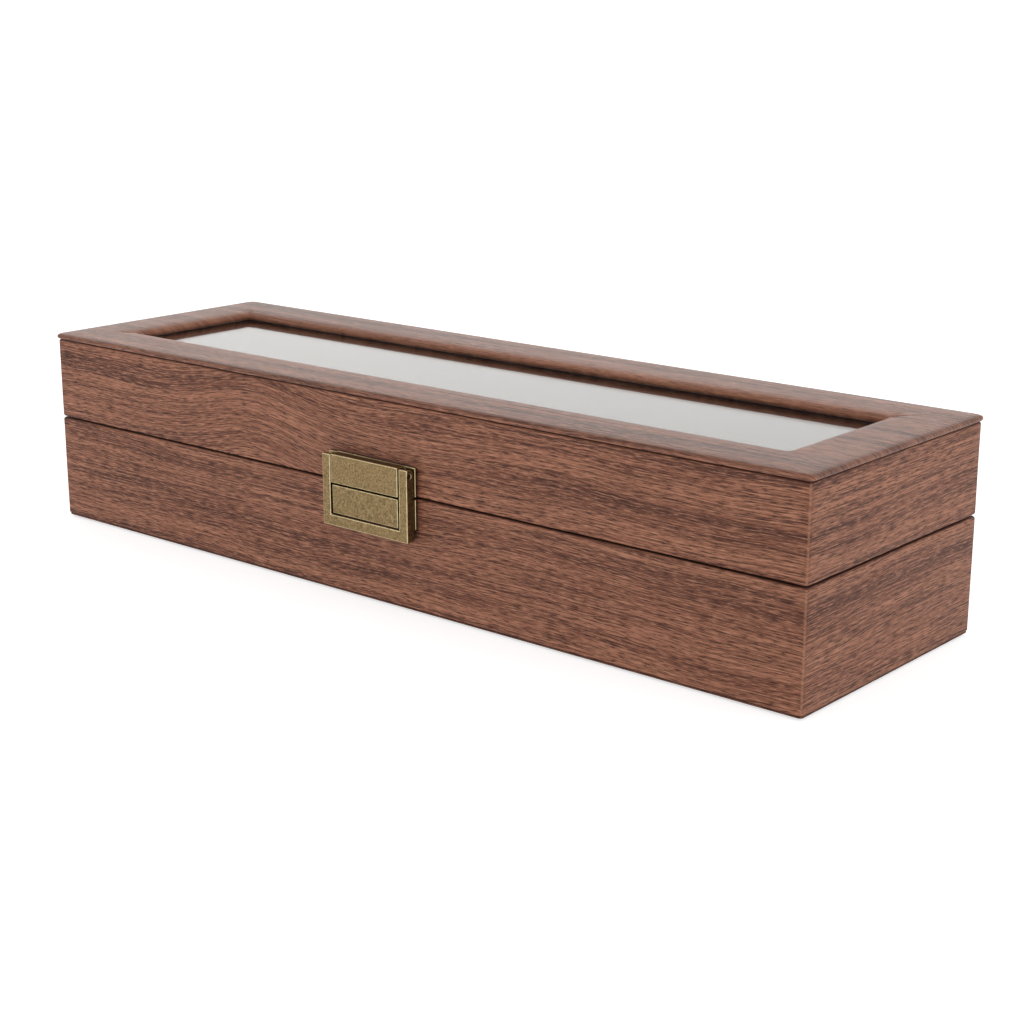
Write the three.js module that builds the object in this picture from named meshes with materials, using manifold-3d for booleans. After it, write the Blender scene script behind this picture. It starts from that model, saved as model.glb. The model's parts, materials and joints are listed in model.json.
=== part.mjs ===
// A watch box: a long, low hinged case with six compartments, a window in its lid and a framed clasp.
//
// The case is fibreboard wrapped in wood-grain sheet. The base holds a lined tray with five dividers and
// six lift-out cushions. The lid carries a padded frame round a clear pane, and turns on two stop hinges
// at the back. The clasp's U-shaped bail hangs from the lid and closes over the catch block on the base.
//
// Millimetres. +X runs along the length, -Y is the front, +Z is up. The origin is the centre of the
// underside.

import * as THREE from 'three';
import { mergeVertices } from 'three/addons/utils/BufferGeometryUtils.js';
import Module from 'manifold-3d';

const wasm = await Module();
wasm.setup();

// ---------------------------------------------------------------- driving dimensions

const LENGTH = 336; // outside of the wrapped walls
const DEPTH = 100;
const WRAP = 0.6; // wood-grain sheet
const GLUE = 0.1; // every glued joint is a gap this wide
const BOARD = 7; // fibreboard walls
const CORNER = 1.4; // rounding of the upright corners
const EDGE = 0.6; // rounding of the wrapped rims

const FELT_TOP = 0.3;
const BOTTOM_BOARD_TOP = 1.05;
const BASE_LOW = 1.15; // lower edge of the base's wrap
const RIM = 39.3; // top of the base
const LID_GAP = 0.5; // between base and lid when shut
const LID_LOW = RIM + LID_GAP;
const LID_HIGH = 69.9; // top of the lid's walls
const FRAME_LOW = 70;
const FRAME_HIGH = 72.4; // crest of the padded frame

const LINING = 1; // velvet on card
const FLOOR_BOARD = 3;
const SLOTS = 6;
const DIVIDER = 2.2;
const DIVIDER_TOP = 35.5;

const CUSHION = { width: 45, depth: 77, height: 36.5, corner: 11, end: 5 };

const FRAME_OVERHANG = 0.45;
const FRAME_RAIL = 21.8; // width of the padded rails
const COVER = 0.4; // sheet round the frame
const FRAME_BOARD = 1;
const FRAME_FOAM = 0.3;
const FRAME_STRIP_INSET = 17; // of the strips' inner edges, since the cover rolls down beyond them
const FRAME_FOAM_INSET = 15;

const PANE = 2;
const PANE_HIGH = 68.85;
const BEZEL = 1.2; // lined card ring that holds the pane from below

const HINGE = {
	centres: [ -100, 100 ],
	halfWidth: 15,
	knuckleHalf: 5.5, // the base's single middle knuckle
	play: 0.3, // between knuckles
	barrel: 2.0,
	bore: 1.05,
	pin: 0.9,
	leaf: 0.8,
	leafFront: 43.4,
	axisOut: 2.3, // of the axis behind the back wall
	tab: 1.0, // thickness of the stop tabs
	tabReach: 5.0,
	stopAngle: 96, // between the stop faces when the lid is shut
};

const SCREW = { head: 1.7, headDepth: 0.7, shank: 0.8, length: 6.5, spacing: 20 };

const CLASP = {
	plateHalf: 19.8,
	plate: 0.8,
	plateLow: 28.9,
	plateHigh: 49.9,
	catchHalf: 15.1, // half widths of the two blocks
	upperHalf: 15.4,
	blockLow: 29.3,
	blockHigh: 49.8,
	blockGap: 0.35, // from each block to the middle of the lid's gap
	upperProud: 4.75,
	catchProudLow: 4.3, // the catch block leans out towards its top
	catchProudHigh: 4.45,
	bailHalf: 19.5,
	bailLow: 24.9,
	bailHigh: 49.5,
	bailFront: 4.5,
	bailBack: 1.15,
	leg: 3.6,
	bar: 3.8,
	barDepth: 1.0,
	pivotZ: 47.3,
	pivotProud: 3.25,
	pin: 0.7,
	pinHole: 0.85,
	screwX: 8,
	screwRise: 5.9, // of the screws above and below the middle of the lid's gap
};

const ROUND = 16; // sides of small round parts
const SMALL_ARC = 3; // segments in a rounded corner

// ---------------------------------------------------------------- worked-out dimensions

const HALF_X = LENGTH / 2;
const HALF_Y = DEPTH / 2;
const WALL_OUT = WRAP + GLUE; // from the outside to the board
const WALL_IN = WALL_OUT + BOARD; // from the outside to the board's inner face
const LINING_OUT = WALL_IN + GLUE * 2;
const LINING_IN = LINING_OUT + LINING;
const FLOOR_LOW = BASE_LOW + WALL_OUT;
const TRAY_LOW = FLOOR_LOW + FLOOR_BOARD + GLUE;
const TRAY_FLOOR = TRAY_LOW + LINING;
const PITCH = ( 2 * ( HALF_X - LINING_IN ) + DIVIDER ) / SLOTS;
const MID_GAP = RIM + LID_GAP / 2;
const FRONT = - HALF_Y;
const HINGE_Y = HALF_Y + HINGE.axisOut;

// ---------------------------------------------------------------- materials

const paint = ( color, roughness, metalness = 0, extra = {} ) =>
	new THREE.MeshStandardMaterial( { color, roughness, metalness, ...extra } );

const woodGrain = paint( 0x7d5546, 0.5 );
const fibreboard = paint( 0x9a7a55, 0.9 );
const velvet = paint( 0x17161a, 0.95 );
const cushionVelvet = paint( 0x26242a, 0.95 );
const felt = paint( 0x121214, 1 );
const foam = paint( 0xd9d6cc, 0.95 );
const antiqueBrass = paint( 0x8c7a50, 0.42, 0.9 );
const clear = paint( 0xf2f5f5, 0.04, 0, { transparent: true, opacity: 0.25 } );

// ---------------------------------------------------------------- solids

// A geometry as a manifold-3d solid, with only its positions kept and its shared vertices merged.
function toSolid( geometry ) {

	const bare = geometry.index ? geometry.toNonIndexed() : geometry.clone();
	bare.deleteAttribute( 'normal' );
	bare.deleteAttribute( 'uv' );
	const merged = mergeVertices( bare, 1e-4 );
	return new wasm.Manifold( new wasm.Mesh( {
		numProp: 3,
		vertProperties: merged.attributes.position.array,
		triVerts: new Uint32Array( merged.index.array ),
	} ) );

}

function toGeometry( solid ) {

	const { vertProperties, numProp, numVert, triVerts } = solid.getMesh();
	const position = new Float32Array( numVert * 3 );
	for ( let i = 0; i < numVert; i ++ ) {

		position.set( vertProperties.subarray( i * numProp, i * numProp + 3 ), i * 3 );

	}

	const geometry = new THREE.BufferGeometry();
	geometry.setAttribute( 'position', new THREE.BufferAttribute( position, 3 ) );
	geometry.setIndex( new THREE.BufferAttribute( triVerts, 1 ) );
	return geometry;

}

const join = ( first, ...others ) =>
	toGeometry( others.reduce( ( made, other ) => made.add( toSolid( other ) ), toSolid( first ) ) );

const cut = ( first, ...tools ) =>
	toGeometry( tools.reduce( ( made, tool ) => made.subtract( toSolid( tool ) ), toSolid( first ) ) );

// A box between two values on each axis.
function boxBetween( [ x0, x1 ], [ y0, y1 ], [ z0, z1 ] ) {

	const geometry = new THREE.BoxGeometry( x1 - x0, y1 - y0, z1 - z0 );
	return geometry.translate( ( x0 + x1 ) / 2, ( y0 + y1 ) / 2, ( z0 + z1 ) / 2 );

}

// A round bar along one axis, from one value to another, centred on the other two coordinates.
function rod( axis, from, to, [ a, b ], radius, sides = ROUND ) {

	const geometry = new THREE.CylinderGeometry( radius, radius, to - from, sides );
	const middle = ( from + to ) / 2;
	if ( axis === 'x' ) return geometry.rotateZ( Math.PI / 2 ).translate( middle, a, b );
	if ( axis === 'y' ) return geometry.translate( a, middle, b );
	return geometry.rotateX( Math.PI / 2 ).translate( a, b, middle );

}

// A rounded rectangle round the origin, as an outline or as a hole.
function roundedRectangle( halfX, halfY, radius, Kind = THREE.Shape ) {

	const outline = new Kind();
	outline.moveTo( halfX, - halfY + radius );
	outline.absarc( halfX - radius, halfY - radius, radius, 0, Math.PI / 2 );
	outline.absarc( - halfX + radius, halfY - radius, radius, Math.PI / 2, Math.PI );
	outline.absarc( - halfX + radius, - halfY + radius, radius, Math.PI, Math.PI * 1.5 );
	outline.absarc( halfX - radius, - halfY + radius, radius, Math.PI * 1.5, Math.PI * 2 );
	outline.closePath();
	return outline;

}

// An upright extrusion of a shape, with its top and bottom edges rounded by `edge`.
function upright( shape, [ low, high ], edge = 0, segments = SMALL_ARC ) {

	const geometry = new THREE.ExtrudeGeometry( shape, {
		depth: high - low - 2 * edge,
		bevelEnabled: edge > 0,
		bevelThickness: edge,
		bevelSize: edge,
		bevelOffset: - edge,
		bevelSegments: 2,
		curveSegments: segments,
	} );
	return geometry.translate( 0, 0, low + edge );

}

// A slab or, with an inner inset, a ring that follows the case's outline at a distance inside it.
function slab( inset, range, { hole = null, corner = CORNER, holeCorner = 1, edge = 0, overhang = 0 } = {} ) {

	const [ x, y ] = [ HALF_X + overhang, HALF_Y + overhang ];
	const shape = roundedRectangle( x - inset, y - inset, corner );
	if ( hole !== null ) shape.holes.push( roundedRectangle( x - hole, y - hole, holeCorner, THREE.Path ) );
	return upright( shape, range, edge );

}

// A profile in the Y-Z plane, drawn as (y, z), extruded along X.
function profileAlongX( shape, [ from, to ], segments = 6 ) {

	const geometry = new THREE.ExtrudeGeometry( shape, {
		depth: to - from,
		bevelEnabled: false,
		curveSegments: segments,
	} );
	const basis = new THREE.Matrix4().makeBasis(
		new THREE.Vector3( 0, 1, 0 ),
		new THREE.Vector3( 0, 0, 1 ),
		new THREE.Vector3( 1, 0, 0 ),
	);
	return geometry.applyMatrix4( basis ).translate( from, 0, 0 );

}

function part( name, geometry, material ) {

	const mesh = new THREE.Mesh( geometry, material );
	mesh.name = name;
	return mesh;

}

const group = ( ...members ) => new THREE.Group().add( ...members.flat() );

// ---------------------------------------------------------------- case

// Where the clasp's screws pass through a front wall.
const claspScrewX = [ - CLASP.screwX, CLASP.screwX ];
const CLASP_SCREW = { shank: 1.2, hole: 1.5, head: 2.3, headHole: 2.6, headDepth: 1.2, sink: 1.5 };

function claspScrewHoles( z ) {

	const inner = FRONT + WALL_IN;
	return claspScrewX.flatMap( ( x ) => [
		rod( 'y', FRONT - 1, inner + 1, [ x, z ], CLASP_SCREW.hole ),
		rod( 'y', inner - CLASP_SCREW.sink, inner + 1, [ x, z ], CLASP_SCREW.headHole ),
	] );

}

const hingeScrewX = HINGE.centres.flatMap( ( x ) => [ x - SCREW.spacing / 2, x + SCREW.spacing / 2 ] );
const HINGE_SCREW_Y = HALF_Y - WALL_OUT - BOARD / 2;

function hingeScrewHoles( [ low, high ] ) {

	return hingeScrewX.map( ( x ) => rod( 'z', low, high, [ x, HINGE_SCREW_Y ], SCREW.shank + 0.2 ) );

}

// Four boards, butted at the corners: the long walls run right through.
function walls( prefix, [ low, high ], claspZ, screwRange ) {

	const [ x, y ] = [ HALF_X - WALL_OUT, HALF_Y - WALL_OUT ];
	const endY = y - BOARD - GLUE;
	const ends = [ - endY, endY ];
	const front = boxBetween( [ - x, x ], [ - y, - y + BOARD ], [ low, high ] );
	const back = boxBetween( [ - x, x ], [ y - BOARD, y ], [ low, high ] );
	return [
		part( `${ prefix }_front_wall`, cut( front, ...claspScrewHoles( claspZ ) ), fibreboard ),
		part( `${ prefix }_back_wall`, cut( back, ...hingeScrewHoles( screwRange ) ), fibreboard ),
		part( `${ prefix }_left_wall`, boxBetween( [ - x, - x + BOARD ], ends, [ low, high ] ), fibreboard ),
		part( `${ prefix }_right_wall`, boxBetween( [ x - BOARD, x ], ends, [ low, high ] ), fibreboard ),
	];

}

// The wood-grain sheet round four walls, turned in over both rims, with room for the hinge leaves.
function wrap( name, [ low, high ], claspZ, leafRange ) {

	const shell = slab( 0, [ low, high ], { hole: WALL_IN, edge: EDGE } );
	const cavity = boxBetween(
		[ - HALF_X + WRAP, HALF_X - WRAP ],
		[ - HALF_Y + WRAP, HALF_Y - WRAP ],
		[ low + WRAP, high - WRAP ],
	);
	const leafRooms = HINGE.centres.map( ( x ) => boxBetween(
		[ x - HINGE.halfWidth - 0.3, x + HINGE.halfWidth + 0.3 ],
		[ HINGE.leafFront - 0.3, HALF_Y + 1 ],
		leafRange,
	) );
	return part( name, cut( shell, cavity, ...claspScrewHoles( claspZ ), ...leafRooms ), woodGrain );

}

// ---------------------------------------------------------------- base

function bottomFelt() {

	return part( 'bottom_felt', slab( 2.5, [ 0, FELT_TOP ] ), felt );

}

function bottomBoard() {

	const edge = 0.2;
	return part( 'bottom_board', slab( 0.35, [ FELT_TOP + GLUE, BOTTOM_BOARD_TOP ], { edge } ), woodGrain );

}

function floorBoard() {

	const inset = WALL_IN + GLUE;
	return part( 'floor_board', boxBetween(
		[ - HALF_X + inset, HALF_X - inset ],
		[ - HALF_Y + inset, HALF_Y - inset ],
		[ FLOOR_LOW, FLOOR_LOW + FLOOR_BOARD ],
	), fibreboard );

}

// An open tray of velvet on card, just below the rim.
function trayLining() {

	const high = RIM - 0.9;
	const tray = slab( LINING_OUT, [ TRAY_LOW, high ], { corner: 0.6 } );
	const inside = boxBetween(
		[ - HALF_X + LINING_IN, HALF_X - LINING_IN ],
		[ - HALF_Y + LINING_IN, HALF_Y - LINING_IN ],
		[ TRAY_FLOOR, high + 1 ],
	);
	return part( 'tray_lining', cut( tray, inside ), velvet );

}

function dividers() {

	const reach = HALF_Y - LINING_IN - 0.2;
	return Array.from( { length: SLOTS - 1 }, ( _, i ) => {

		const mesh = part( `divider_${ i + 1 }`, boxBetween(
			[ - DIVIDER / 2, DIVIDER / 2 ],
			[ - reach, reach ],
			[ TRAY_FLOOR + GLUE, DIVIDER_TOP ],
		), velvet );
		mesh.position.x = ( i + 1 - SLOTS / 2 ) * PITCH;
		return mesh;

	} );

}

// A pillow: a rounded section in X-Z, extruded front to back with rounded ends.
function cushions() {

	const { width, depth, height, corner, end } = CUSHION;
	const basis = new THREE.Matrix4().makeBasis(
		new THREE.Vector3( 1, 0, 0 ),
		new THREE.Vector3( 0, 0, 1 ),
		new THREE.Vector3( 0, - 1, 0 ),
	);
	return Array.from( { length: SLOTS }, ( _, i ) => {

		const outline = roundedRectangle( width / 2, height / 2, corner );
		const geometry = upright( outline, [ - depth / 2, depth / 2 ], end, 4 );
		const mesh = part( `cushion_${ i + 1 }`, geometry.applyMatrix4( basis ), cushionVelvet );
		mesh.position.set( ( i + 0.5 - SLOTS / 2 ) * PITCH, 0, TRAY_FLOOR + GLUE * 2 + height / 2 );
		return mesh;

	} );

}

// ---------------------------------------------------------------- lid

// Four strips of board, butted at the corners: the long ones run right through.
function frameStrips() {

	const [ x, y ] = [ HALF_X, HALF_Y ].map( ( half ) => half + FRAME_OVERHANG - COVER - 0.8 );
	const [ innerX, innerY ] = [ HALF_X, HALF_Y ].map( ( half ) => half + FRAME_OVERHANG - FRAME_STRIP_INSET );
	const low = FRAME_LOW + COVER + GLUE;
	const range = [ low, low + FRAME_BOARD ];
	const ends = [ - innerY + GLUE, innerY - GLUE ];
	return [
		part( 'frame_front_strip', boxBetween( [ - x, x ], [ - y, - innerY ], range ), fibreboard ),
		part( 'frame_back_strip', boxBetween( [ - x, x ], [ innerY, y ], range ), fibreboard ),
		part( 'frame_left_strip', boxBetween( [ - x, - innerX ], ends, range ), fibreboard ),
		part( 'frame_right_strip', boxBetween( [ innerX, x ], ends, range ), fibreboard ),
	];

}

function frameFoam() {

	const low = FRAME_LOW + COVER + GLUE + FRAME_BOARD + GLUE;
	return part( 'frame_foam', slab( COVER + 0.8, [ low, low + FRAME_FOAM ], {
		hole: FRAME_FOAM_INSET,
		overhang: FRAME_OVERHANG,
	} ), foam );

}

// The sheet over the frame: down round both edges and turned in underneath.
function frameCover() {

	const solid = slab( 0, [ FRAME_LOW, FRAME_HIGH ], {
		hole: FRAME_RAIL,
		corner: 2,
		holeCorner: 2,
		edge: 0.8,
		overhang: FRAME_OVERHANG,
	} );
	const cavity = slab( COVER, [ FRAME_LOW + COVER, FRAME_HIGH - COVER ], {
		hole: FRAME_RAIL - COVER,
		corner: 1.6,
		holeCorner: 2.4,
		edge: 0.4,
		overhang: FRAME_OVERHANG,
	} );
	const turnIn = 9;
	const underside = slab( turnIn, [ FRAME_LOW - 1, FRAME_LOW + 1 ], {
		hole: FRAME_RAIL - turnIn,
		overhang: FRAME_OVERHANG,
	} );
	return part( 'frame_cover', cut( solid, cavity, underside ), woodGrain );

}

function windowPane() {

	const inset = WALL_IN + 0.7;
	return part( 'window_pane', slab( inset, [ PANE_HIGH - PANE, PANE_HIGH ] ), clear );

}

function windowBezel() {

	const high = PANE_HIGH - PANE - 0.2;
	return part( 'window_bezel', slab( WALL_IN + 0.7, [ high - BEZEL, high ], {
		hole: FRAME_RAIL - FRAME_OVERHANG - 1,
	} ), velvet );

}

function lidLining() {

	const high = PANE_HIGH - PANE - BEZEL - 0.4;
	return part( 'lid_lining', slab( LINING_OUT, [ LID_LOW + 0.9, high ], {
		hole: LINING_IN,
		corner: 0.6,
		holeCorner: 0.4,
	} ), velvet );

}

// ---------------------------------------------------------------- hinges

// A tab behind the barrel, from its own knuckles out past the others. Its stop face lies on a ray at
// `degrees`, and its metal on the side that `side` gives: 1 turns from +Y to +Z, -1 the other way.
function stopTab( degrees, side, knuckles ) {

	const across = side > 0 ? [ 0, HINGE.tab ] : [ - HINGE.tab, 0 ];
	const { halfWidth, barrel, bore, tabReach } = HINGE;
	const reach = boxBetween( [ - halfWidth, halfWidth ], [ barrel + 0.3, tabReach ], across );
	const webs = knuckles.map( ( range ) => boxBetween( range, [ bore + 0.3, barrel + 0.6 ], across ) );
	return join( reach, ...webs ).rotateX( THREE.MathUtils.degToRad( degrees ) );

}

// One leaf, with its knuckles and stop tab, drawn about the hinge's axis. `side` is 1 for the lid, -1 for
// the base.
function hingeLeaf( side, knuckles ) {

	const gapHalf = 0.1;
	const thick = side > 0 ? [ gapHalf, gapHalf + HINGE.leaf ] : [ - gapHalf - HINGE.leaf, - gapHalf ];
	const front = HINGE.leafFront - HINGE_Y;
	const back = - HINGE.barrel - 0.4;
	const plate = boxBetween( [ - HINGE.halfWidth, HINGE.halfWidth ], [ front, back ], thick );
	const tongues = knuckles.map( ( range ) => boxBetween( range, [ back - 0.1, - HINGE.bore ], thick ) );
	const barrels = knuckles.map( ( [ from, to ] ) => rod( 'x', from, to, [ 0, 0 ], HINGE.barrel ) );
	const tab = stopTab( side * HINGE.stopAngle / 2, side, knuckles );
	const bore = rod( 'x', - HINGE.halfWidth - 1, HINGE.halfWidth + 1, [ 0, 0 ], HINGE.bore );
	const sinks = [ - 1, 1 ].map( ( way ) => countersink( side )
		.translate( way * SCREW.spacing / 2, HINGE_SCREW_Y - HINGE_Y, side > 0 ? gapHalf : - gapHalf ) );
	return cut( join( plate, ...tongues, ...barrels, tab ), bore, ...sinks );

}

// The hole that a screw's head needs, about the origin, opening towards -Z for the lid and +Z for the base.
function countersink( side ) {

	const clearance = 0.12;
	const profile = [
		[ 0, - 1 ],
		[ SCREW.shank + clearance, - 1 ],
		[ SCREW.shank + clearance, - SCREW.headDepth ],
		[ SCREW.head + clearance, 0 ],
		[ SCREW.head + clearance, 0.5 ],
		[ 0, 0.5 ],
	];
	return lathe( profile ).rotateX( side > 0 ? - Math.PI / 2 : Math.PI / 2 );

}

// Points are (radius, height) from the bottom up, turned about Y.
function lathe( points, sides = ROUND ) {

	return new THREE.LatheGeometry( points.map( ( [ r, h ] ) => new THREE.Vector2( r, h ) ), sides );

}

// A countersunk wood screw with a cross recess, its head's face at the origin and its point at -Y.
function woodScrew() {

	const body = lathe( [
		[ 0, - SCREW.length ],
		[ SCREW.shank * 0.6, - SCREW.length + 1.2 ],
		[ SCREW.shank, - SCREW.length + 2.2 ],
		[ SCREW.shank, - SCREW.headDepth ],
		[ SCREW.head, - 0.05 ],
		[ 0, - 0.05 ],
	] );
	const [ half, width, deep ] = [ 1.0, 0.2, 0.45 ];
	return cut(
		body,
		boxBetween( [ - half, half ], [ - deep, 1 ], [ - width, width ] ),
		boxBetween( [ - width, width ], [ - deep, 1 ], [ - half, half ] ),
	);

}

function hingeParts( x, side ) {

	const at = ( mesh ) => {

		mesh.position.set( x, HINGE_Y, MID_GAP );
		return mesh;

	};

	const { halfWidth, knuckleHalf, play, pin } = HINGE;
	const outer = [ [ - halfWidth, - knuckleHalf - play ], [ knuckleHalf + play, halfWidth ] ];
	const pinHead = 1.5;
	const pinEnd = halfWidth + 0.2;
	const pinShape = lathe( [
		[ 0, - pinEnd - 0.5 ],
		[ pinHead * 0.7, - pinEnd - 0.4 ],
		[ pinHead, - pinEnd ],
		[ pin, - pinEnd ],
		[ pin, pinEnd ],
		[ pinHead, pinEnd ],
		[ pinHead * 0.7, pinEnd + 0.4 ],
		[ 0, pinEnd + 0.5 ],
	] ).rotateZ( Math.PI / 2 );
	const baseLeaf = hingeLeaf( - 1, [ [ - knuckleHalf, knuckleHalf ] ] );
	return {
		base: [
			at( part( `hinge_base_leaf_${ side }`, baseLeaf, antiqueBrass ) ),
			at( part( `hinge_pin_${ side }`, pinShape, antiqueBrass ) ),
			...hingeScrews( x, side, 'base' ),
		],
		lid: [
			at( part( `hinge_lid_leaf_${ side }`, hingeLeaf( 1, outer ), antiqueBrass ) ),
			...hingeScrews( x, side, 'lid' ),
		],
	};

}

function hingeScrews( x, side, owner ) {

	const down = owner === 'base';
	return [ - 1, 1 ].map( ( way, i ) => {

		const screw = part( `hinge_${ owner }_screw_${ side }_${ i + 1 }`, woodScrew(), antiqueBrass );
		screw.rotation.x = down ? Math.PI / 2 : - Math.PI / 2;
		screw.position.set( x + way * SCREW.spacing / 2, HINGE_SCREW_Y, MID_GAP + ( down ? - 0.1 : 0.1 ) );
		return screw;

	} );

}

// ---------------------------------------------------------------- clasp

// Y of a face that stands this far in front of the front wall
const proud = ( distance ) => FRONT - distance;

// A plate with a raised block, drilled from behind for its two screws.
function claspPlate( name, plateRange, blockOutline, half, screwZ ) {

	const plate = boxBetween(
		[ - CLASP.plateHalf, CLASP.plateHalf ],
		[ proud( CLASP.plate + GLUE ), proud( GLUE ) ],
		plateRange,
	);
	const block = profileAlongX( blockOutline, [ - half, half ] );
	const bore = CLASP_SCREW.shank + 0.2;
	const holes = claspScrewX.map( ( x ) => rod( 'y', proud( 3 ), FRONT + 1, [ x, screwZ ], bore ) );
	const pinRooms = [ - 1, 1 ].map( ( way ) => {

		const [ from, to ] = [ half - 3.2, half + 1 ];
		const range = way > 0 ? [ from, to ] : [ - to, - from ];
		return rod( 'x', ...range, [ proud( CLASP.pivotProud ), CLASP.pivotZ ], CLASP.pinHole );

	} );
	const made = screwZ > MID_GAP ? [ ...holes, ...pinRooms ] : holes;
	return part( name, cut( join( plate, block ), ...made ), antiqueBrass );

}

// A block's outline in (y, z), from the plate out to its front face, which may lean.
function blockOutline( [ low, high ], frontLow, frontHigh ) {

	return new THREE.Shape( [
		new THREE.Vector2( proud( GLUE * 2 ), low ),
		new THREE.Vector2( proud( GLUE * 2 ), high ),
		new THREE.Vector2( proud( frontHigh ), high ),
		new THREE.Vector2( proud( frontLow ), low ),
	] );

}

function catchPlate() {

	const { plateLow, blockLow, blockGap, catchProudLow, catchProudHigh, catchHalf, screwRise } = CLASP;
	const outline = blockOutline( [ blockLow, MID_GAP - blockGap ], catchProudLow, catchProudHigh );
	return claspPlate( 'catch_plate', [ plateLow, RIM ], outline, catchHalf, MID_GAP - screwRise );

}

function claspLidPlate() {

	const { plateHigh, blockHigh, blockGap, upperProud, upperHalf, screwRise } = CLASP;
	const outline = blockOutline( [ MID_GAP + blockGap, blockHigh ], upperProud, upperProud );
	return claspPlate( 'clasp_lid_plate', [ LID_LOW, plateHigh ], outline, upperHalf, MID_GAP + screwRise );

}

// Pan-head screws from inside the front wall, sunk under the lining.
function claspScrews( prefix, z ) {

	const head = FRONT + WALL_IN - CLASP_SCREW.sink + 0.1;
	return claspScrewX.map( ( x, i ) => part( `${ prefix }_screw_${ i + 1 }`, join(
		rod( 'y', proud( 2.7 ), head + 0.2, [ x, z ], CLASP_SCREW.shank ),
		rod( 'y', head, head + CLASP_SCREW.headDepth, [ x, z ], CLASP_SCREW.head ),
	), antiqueBrass ) );

}

// The U-shaped frame: two legs on the pivot pins and a thin bar that hangs below the catch block. A leg is
// round behind its pivot and square in front, so it stops against the plate when the bail is lifted.
function claspBail() {

	const [ front, back ] = [ proud( CLASP.bailFront ), proud( CLASP.bailBack ) ];
	const side = new THREE.Shape();
	side.moveTo( front, CLASP.bailLow );
	side.lineTo( back, CLASP.bailLow );
	side.lineTo( back, CLASP.pivotZ - 0.3 );
	side.quadraticCurveTo( back, CLASP.bailHigh, proud( CLASP.pivotProud + 0.3 ), CLASP.bailHigh );
	side.lineTo( front, CLASP.bailHigh );
	side.closePath();
	const { bailHalf, leg, bar, barDepth } = CLASP;
	const legRanges = [ [ - bailHalf, - bailHalf + leg ], [ bailHalf - leg, bailHalf ] ];
	const legs = legRanges.map( ( range ) => profileAlongX( side, range ) );
	const lowBar = boxBetween(
		[ - bailHalf + 0.5, bailHalf - 0.5 ],
		[ front, front + barDepth ],
		[ CLASP.bailLow, CLASP.bailLow + bar ],
	);
	const axis = [ proud( CLASP.pivotProud ), CLASP.pivotZ ];
	const pivot = rod( 'x', - bailHalf - 1, bailHalf + 1, axis, CLASP.pinHole );
	return part( 'clasp_bail', cut( join( lowBar, ...legs ), pivot ), antiqueBrass );

}

function claspPins() {

	return [ - 1, 1 ].map( ( way, i ) => {

		const [ from, to ] = [ CLASP.upperHalf - 3, CLASP.bailHalf - 0.1 ];
		const range = way > 0 ? [ from, to ] : [ - to, - from ];
		const side = [ 'left', 'right' ][ i ];
		const axis = [ proud( CLASP.pivotProud ), CLASP.pivotZ ];
		return part( `clasp_pin_${ side }`, rod( 'x', ...range, axis, CLASP.pin, 12 ), antiqueBrass );

	} );

}

// ---------------------------------------------------------------- assembly

const hinges = HINGE.centres.map( ( x, i ) => hingeParts( x, [ 'left', 'right' ][ i ] ) );
const screwDepth = SCREW.length + 0.5;
const [ lowClaspZ, highClaspZ ] = [ MID_GAP - CLASP.screwRise, MID_GAP + CLASP.screwRise ];

const base = group(
	bottomFelt(),
	bottomBoard(),
	floorBoard(),
	walls( 'base', [ FLOOR_LOW, RIM - WALL_OUT ], lowClaspZ, [ MID_GAP - screwDepth, RIM ] ),
	wrap( 'base_wrap', [ BASE_LOW, RIM ], lowClaspZ, [ RIM - 0.75, RIM + 1 ] ),
	trayLining(),
	dividers(),
	catchPlate(),
	claspScrews( 'catch', lowClaspZ ),
	hinges.flatMap( ( hinge ) => hinge.base ),
);

const lid = group(
	walls( 'lid', [ LID_LOW + WALL_OUT, LID_HIGH - WALL_OUT ], highClaspZ, [ LID_LOW, MID_GAP + screwDepth ] ),
	wrap( 'lid_wrap', [ LID_LOW, LID_HIGH ], highClaspZ, [ LID_LOW - 1, LID_LOW + 0.75 ] ),
	frameStrips(),
	frameFoam(),
	frameCover(),
	windowPane(),
	windowBezel(),
	lidLining(),
	claspLidPlate(),
	claspScrews( 'clasp_lid', highClaspZ ),
	claspPins(),
	hinges.flatMap( ( hinge ) => hinge.lid ),
);

const watchBox = group( base, lid, claspBail(), cushions() );

export default watchBox;
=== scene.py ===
"""A watch box: wood-grain wrapped case, padded window frame in the lid, framed brass clasp, velvet inside.

Metres, +Z up, the case's underside on z = 0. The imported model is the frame; this script makes what is seen.
"""

import json
import math

import bmesh
import bpy
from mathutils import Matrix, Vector, noise


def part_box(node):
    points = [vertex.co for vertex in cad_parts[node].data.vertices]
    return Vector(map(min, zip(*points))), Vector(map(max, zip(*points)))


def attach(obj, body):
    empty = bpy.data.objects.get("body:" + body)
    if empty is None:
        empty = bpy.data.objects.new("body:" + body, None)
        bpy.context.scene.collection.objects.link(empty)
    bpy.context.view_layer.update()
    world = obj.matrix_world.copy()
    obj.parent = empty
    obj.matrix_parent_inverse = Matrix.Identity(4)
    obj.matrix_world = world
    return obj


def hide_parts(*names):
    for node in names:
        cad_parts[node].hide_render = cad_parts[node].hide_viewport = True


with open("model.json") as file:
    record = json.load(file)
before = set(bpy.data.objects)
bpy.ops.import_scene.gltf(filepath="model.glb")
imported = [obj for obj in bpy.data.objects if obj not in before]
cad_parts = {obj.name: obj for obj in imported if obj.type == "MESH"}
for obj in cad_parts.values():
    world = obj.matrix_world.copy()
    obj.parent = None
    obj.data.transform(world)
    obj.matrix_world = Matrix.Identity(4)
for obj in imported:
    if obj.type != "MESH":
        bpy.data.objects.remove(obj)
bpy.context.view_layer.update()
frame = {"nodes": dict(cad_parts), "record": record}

MM = 0.001
scene = bpy.context.scene


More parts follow.
